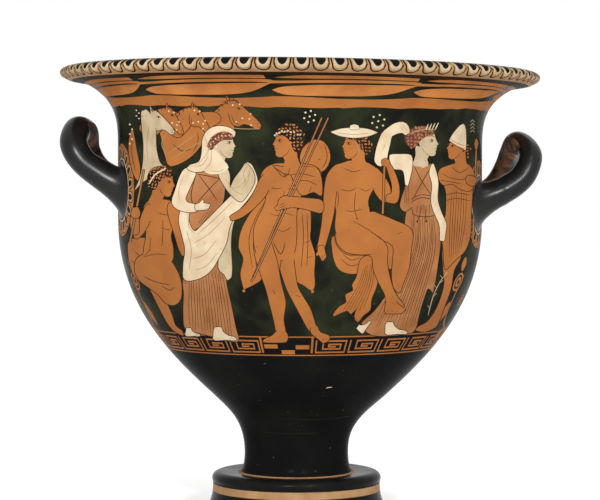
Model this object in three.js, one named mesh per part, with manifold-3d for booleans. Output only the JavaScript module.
// A bell krater: a wide Greek mixing bowl for wine and water, thrown in fired clay.
// The bell-shaped bowl, the turned foot and the two upturned loop handles were joined while
// the clay was soft and fired together, so the vase is one hollow solid.
//
// Millimetres, +Z up. The origin is on the ground, on the axis of the bowl. The picture side
// faces -Y, and the handles stand out along -X and +X.
import * as THREE from "three";
import { ParametricGeometry } from "three/addons/geometries/ParametricGeometry.js";
import { mergeVertices } from "three/addons/utils/BufferGeometryUtils.js";
import Module from "manifold-3d";

// Heights above the ground.
const HEIGHT = 387.5;
const LIP_EDGE = 377.5;
const NECK_TOP = 374;
const WALL_TOP = 320;
const WALL_FOOT = 256;
const BELLY_FOOT = 101;
const WAIST = 52;
const STEM_FOOT = 33.6;
const DISC_TOP = 35;
const DISC_GROOVE = 25.4;
const BOWL_FLOOR = 101;
const FOOT_HOLLOW_TOP = 84;

// Radii.
const RIM_RADIUS = 210;
const LIP_EDGE_RADIUS = 205;
const NECK_RADIUS = 189;
const WALL_RADIUS = 160;
const BELLY_FOOT_RADIUS = 74.2;
const WAIST_RADIUS = 45.7;
const STEM_FOOT_RADIUS = 49.5;
const DISC_RADIUS = 74;
const GROOVE_RADIUS = 73;
const BASE_RADIUS = 79;
const FOOT_RING_WIDTH = 10;

// The wall is thinnest at the neck, and thickest at the foot of the belly.
const NECK_WALL = 7.5;
const BELLY_FOOT_WALL = 12;

// How far the wall runs straight at the foot of the belly: radius gained for each millimetre of height.
const BELLY_SLOPE = 1.08;

// The rim sagged a little towards +X as it dried, and the foot was set a little off the axis.
const RIM_DROP = 2.6;
const SAG_FROM = 170;
const FOOT_SHIFT = -3.2;
const SHIFT_FROM = 62;
const SHIFT_TO = 106;

// Each handle is a loop that leaves the wall at two roots, climbs outwards and leans in again at its top.
// Points of the middle line of one arm, from inside the wall to the top of the loop: out from the axis,
// sideways from the loop's middle plane, up from the ground, and how thick the roll of clay is there.
// The loops were bent by hand: twist turns a loop about the bowl's axis, drop lowers its second arm,
// and skew brings that arm in towards the bowl.
const LEFT_HANDLE = {
  turn: Math.PI,
  twist: -0.038,
  drop: -2.5,
  skew: 0,
  arm: [
    { out: 135, side: 51, up: 266, thick: 18.5 },
    { out: 150, side: 50, up: 278.5, thick: 15.5 },
    { out: 165.5, side: 49, up: 290.5, thick: 12.9 },
    { out: 185, side: 48, up: 304.5, thick: 11.6 },
    { out: 194.2, side: 44, up: 320, thick: 12 },
    { out: 193.5, side: 27, up: 333, thick: 12 },
    { out: 191, side: 0, up: 335.3, thick: 10.8 },
  ],
};
const RIGHT_HANDLE = {
  turn: 0,
  twist: 0.055,
  drop: 3.6,
  skew: 5,
  arm: [
    { out: 135, side: 51, up: 261, thick: 18.5 },
    { out: 152, side: 50, up: 271.5, thick: 15.5 },
    { out: 170.3, side: 49, up: 279.6, thick: 11.5 },
    { out: 185.2, side: 48, up: 290.6, thick: 10.9 },
    { out: 193.3, side: 44, up: 306.5, thick: 10.2 },
    { out: 193.6, side: 27, up: 318, thick: 9.8 },
    { out: 192, side: 0, up: 324.2, thick: 10.2 },
  ],
};

// The way that the plane of each loop faces: up, and in towards the bowl.
const LOOP_FACES = new THREE.Vector3(-0.5, 0, 0.87);

// How finely the round surfaces are faceted.
const ROUND_STEPS = 60;
const OUTLINE_STEP = 21;
const LEAST_STEPS = 4;
const HANDLE_STEPS = 32;
const HANDLE_SIDES = 14;

const CLAY_GLOSS = new THREE.MeshStandardMaterial({ color: 0x1b1a18, roughness: 0.3, metalness: 0 });

const wasm = await Module();
wasm.setup();

// A point on the straight foot of the belly: so far along the slope, and so far in through the wall.
function bellyFoot(rise, inwards) {
  const slant = Math.hypot(BELLY_SLOPE, 1);
  return [
    BELLY_FOOT_RADIUS + rise * BELLY_SLOPE - inwards / slant,
    BELLY_FOOT + rise + (inwards * BELLY_SLOPE) / slant,
  ];
}

// The outline of the outside, from the ground to the top of the rim.
function outerOutline() {
  const path = new THREE.Path();
  path.moveTo(BASE_RADIUS - 1.5, 0);
  path.lineTo(BASE_RADIUS, 1.5);
  path.bezierCurveTo(BASE_RADIUS - 1.5, 7, DISC_RADIUS - 0.5, 12, GROOVE_RADIUS + 0.6, DISC_GROOVE - 0.8);
  path.lineTo(GROOVE_RADIUS, DISC_GROOVE);
  path.bezierCurveTo(DISC_RADIUS + 2.4, DISC_GROOVE + 3.5, DISC_RADIUS, DISC_TOP, DISC_RADIUS - 7, DISC_TOP);
  path.lineTo(STEM_FOOT_RADIUS, STEM_FOOT);
  path.bezierCurveTo(STEM_FOOT_RADIUS - 2.5, STEM_FOOT + 3, WAIST_RADIUS, WAIST - 8, WAIST_RADIUS, WAIST);
  path.bezierCurveTo(WAIST_RADIUS, WAIST + 25.9, ...bellyFoot(-12.7, 0), ...bellyFoot(0, 0));
  path.bezierCurveTo(...bellyFoot(32.3, 0), WALL_RADIUS, WALL_FOOT - 77.1, WALL_RADIUS, WALL_FOOT);
  path.lineTo(WALL_RADIUS, WALL_TOP);
  const neckFoot = [WALL_RADIUS, WALL_TOP + 19.4];
  path.bezierCurveTo(...neckFoot, NECK_RADIUS - 29.2, NECK_TOP - 13.3, NECK_RADIUS, NECK_TOP);
  path.lineTo(LIP_EDGE_RADIUS - 2, LIP_EDGE - 1.2);
  path.lineTo(LIP_EDGE_RADIUS, LIP_EDGE);
  const lipBulge = RIM_RADIUS + 2.5;
  path.bezierCurveTo(lipBulge, LIP_EDGE + 2.5, lipBulge, HEIGHT - 1.5, RIM_RADIUS - 7, HEIGHT);
  return path;
}

// The outline of the inside, from the top of the rim down to the middle of the bowl's floor.
function innerOutline() {
  const wall = WALL_RADIUS - NECK_WALL;
  const path = new THREE.Path();
  path.moveTo(RIM_RADIUS - 12, HEIGHT);
  path.bezierCurveTo(RIM_RADIUS - 19, HEIGHT - 0.5, wall, NECK_TOP - 8, wall, WALL_TOP + 8);
  path.lineTo(wall, WALL_FOOT);
  const belly = bellyFoot(33, BELLY_FOOT_WALL);
  path.bezierCurveTo(wall, WALL_FOOT - 73, ...belly, ...bellyFoot(3, BELLY_FOOT_WALL));
  path.bezierCurveTo(...bellyFoot(-6, BELLY_FOOT_WALL), WAIST_RADIUS, BOWL_FLOOR, 0, BOWL_FLOOR);
  return path;
}

// The outline of the hollow under the foot, from its top on the axis down to the ring that it stands on.
function hollowOutline() {
  const path = new THREE.Path();
  path.moveTo(0, FOOT_HOLLOW_TOP);
  path.bezierCurveTo(26, FOOT_HOLLOW_TOP, 31, WAIST + 8, 33, WAIST - 12);
  path.bezierCurveTo(36, 26, 56, 24, BASE_RADIUS - FOOT_RING_WIDTH - 4, 6);
  path.lineTo(BASE_RADIUS - FOOT_RING_WIDTH, 0);
  return path;
}

// The points of a path, with its straight lines left as their two ends.
function points(path) {
  return path.curves.flatMap((curve, i) => {
    const steps = curve.isLineCurve ? 1 : Math.max(LEAST_STEPS, Math.round(curve.getLength() / OUTLINE_STEP));
    return curve.getPoints(steps).slice(i ? 1 : 0);
  });
}

// A bend of the thrown shape: the rim's sag and the foot's small shift, both fading out in between.
function settle(vertex) {
  const sag = THREE.MathUtils.smoothstep(vertex.z, SAG_FROM, HEIGHT);
  const shift = 1 - THREE.MathUtils.smoothstep(vertex.z, SHIFT_FROM, SHIFT_TO);
  return vertex.set(
    vertex.x + FOOT_SHIFT * shift,
    vertex.y,
    vertex.z - (RIM_DROP * sag * vertex.x) / RIM_RADIUS,
  );
}

// Applies a function to each vertex of a geometry.
function reshape(geometry, change) {
  const place = geometry.getAttribute("position");
  const vertex = new THREE.Vector3();
  for (let i = 0; i < place.count; i++) {
    change(vertex.fromBufferAttribute(place, i));
    place.setXYZ(i, vertex.x, vertex.y, vertex.z);
  }
  return geometry;
}

// The hollow body of the vase, turned about its axis.
function bodyGeometry() {
  const outline = [
    ...points(hollowOutline()),
    ...points(outerOutline()),
    ...points(innerOutline()),
  ];
  const geometry = new THREE.LatheGeometry(outline, ROUND_STEPS).rotateX(Math.PI / 2);
  return reshape(geometry, settle);
}

// How thick the roll of a handle is, for t from 0 at one end of its line to 1 at the other.
function thickness(line, t) {
  const place = t * (line.length - 1);
  const i = Math.min(Math.floor(place), line.length - 2);
  return THREE.MathUtils.lerp(line[i].thick, line[i + 1].thick, THREE.MathUtils.smoothstep(place - i, 0, 1));
}

// A loop handle: a roll of clay along a bent line. Its two ends are inside the wall.
function handleGeometry({ turn, twist, drop, skew, arm }) {
  const otherArm = arm.slice(0, -1).reverse().map((point) => ({ ...point, side: -point.side }));
  const line = [...arm, ...otherArm];
  const curve = new THREE.CatmullRomCurve3(
    line.map(({ out, side, up }) => {
      const share = side / arm[0].side;
      return new THREE.Vector3(out - skew * share, side, up - drop * share);
    }),
  );
  const geometry = new ParametricGeometry(
    (t, v, target) => {
      const along = curve.getTangent(t);
      const across = LOOP_FACES.clone().cross(along).normalize();
      const outwards = new THREE.Vector3().crossVectors(along, across);
      const radius = t === 0 || t === 1 ? 0 : thickness(line, t);
      const angle = 2 * Math.PI * v;
      target
        .copy(curve.getPoint(t))
        .addScaledVector(across, radius * Math.cos(angle))
        .addScaledVector(outwards, radius * Math.sin(angle));
    },
    HANDLE_STEPS,
    HANDLE_SIDES,
  );
  return geometry.rotateZ(turn + twist);
}

// A closed geometry as a manifold-3d solid facing out. Faces that collapse where the ends close are dropped.
function solidOf(geometry) {
  const bare = new THREE.BufferGeometry().setAttribute("position", geometry.getAttribute("position"));
  bare.setIndex(geometry.index);
  const merged = mergeVertices(bare, 1e-3);
  const triVerts = [];
  for (let i = 0; i < merged.index.count; i += 3) {
    const [a, b, c] = [0, 1, 2].map((k) => merged.index.getX(i + k));
    if (a !== b && b !== c && a !== c) triVerts.push(a, b, c);
  }
  const mesh = (corners) =>
    new wasm.Mesh({
      numProp: 3,
      vertProperties: merged.attributes.position.array,
      triVerts: new Uint32Array(corners),
    });
  const solid = new wasm.Manifold(mesh(triVerts));
  return solid.volume() < 0 ? new wasm.Manifold(mesh(triVerts.reverse())) : solid;
}

// A three.js mesh of a manifold-3d solid.
function meshOf(solid, name, material) {
  const { numProp, vertProperties, triVerts } = solid.getMesh();
  const geometry = new THREE.BufferGeometry();
  geometry.setAttribute("position", new THREE.BufferAttribute(vertProperties, numProp));
  geometry.setIndex(new THREE.BufferAttribute(triVerts, 1));
  geometry.computeVertexNormals();
  const mesh = new THREE.Mesh(geometry, material);
  mesh.name = name;
  return mesh;
}

// The space inside the bowl, which trims the ends of the handles' tubes flush with the inner wall.
function bowlSpaceGeometry() {
  const outline = [new THREE.Vector2(0, HEIGHT), ...points(innerOutline())];
  const geometry = new THREE.LatheGeometry(outline, ROUND_STEPS).rotateX(Math.PI / 2);
  return reshape(geometry, settle);
}

const handles = [LEFT_HANDLE, RIGHT_HANDLE].map((handle) => solidOf(handleGeometry(handle)));
const body = solidOf(bodyGeometry());
const bowlSpace = solidOf(bowlSpaceGeometry());
const trimmed = handles.map((handle) => handle.subtract(bowlSpace));
const vase = trimmed.reduce((whole, handle) => whole.add(handle), body);

const krater = new THREE.Group();
krater.name = "bell_krater";
krater.add(meshOf(vase, "krater", CLAY_GLOSS));

export default krater;
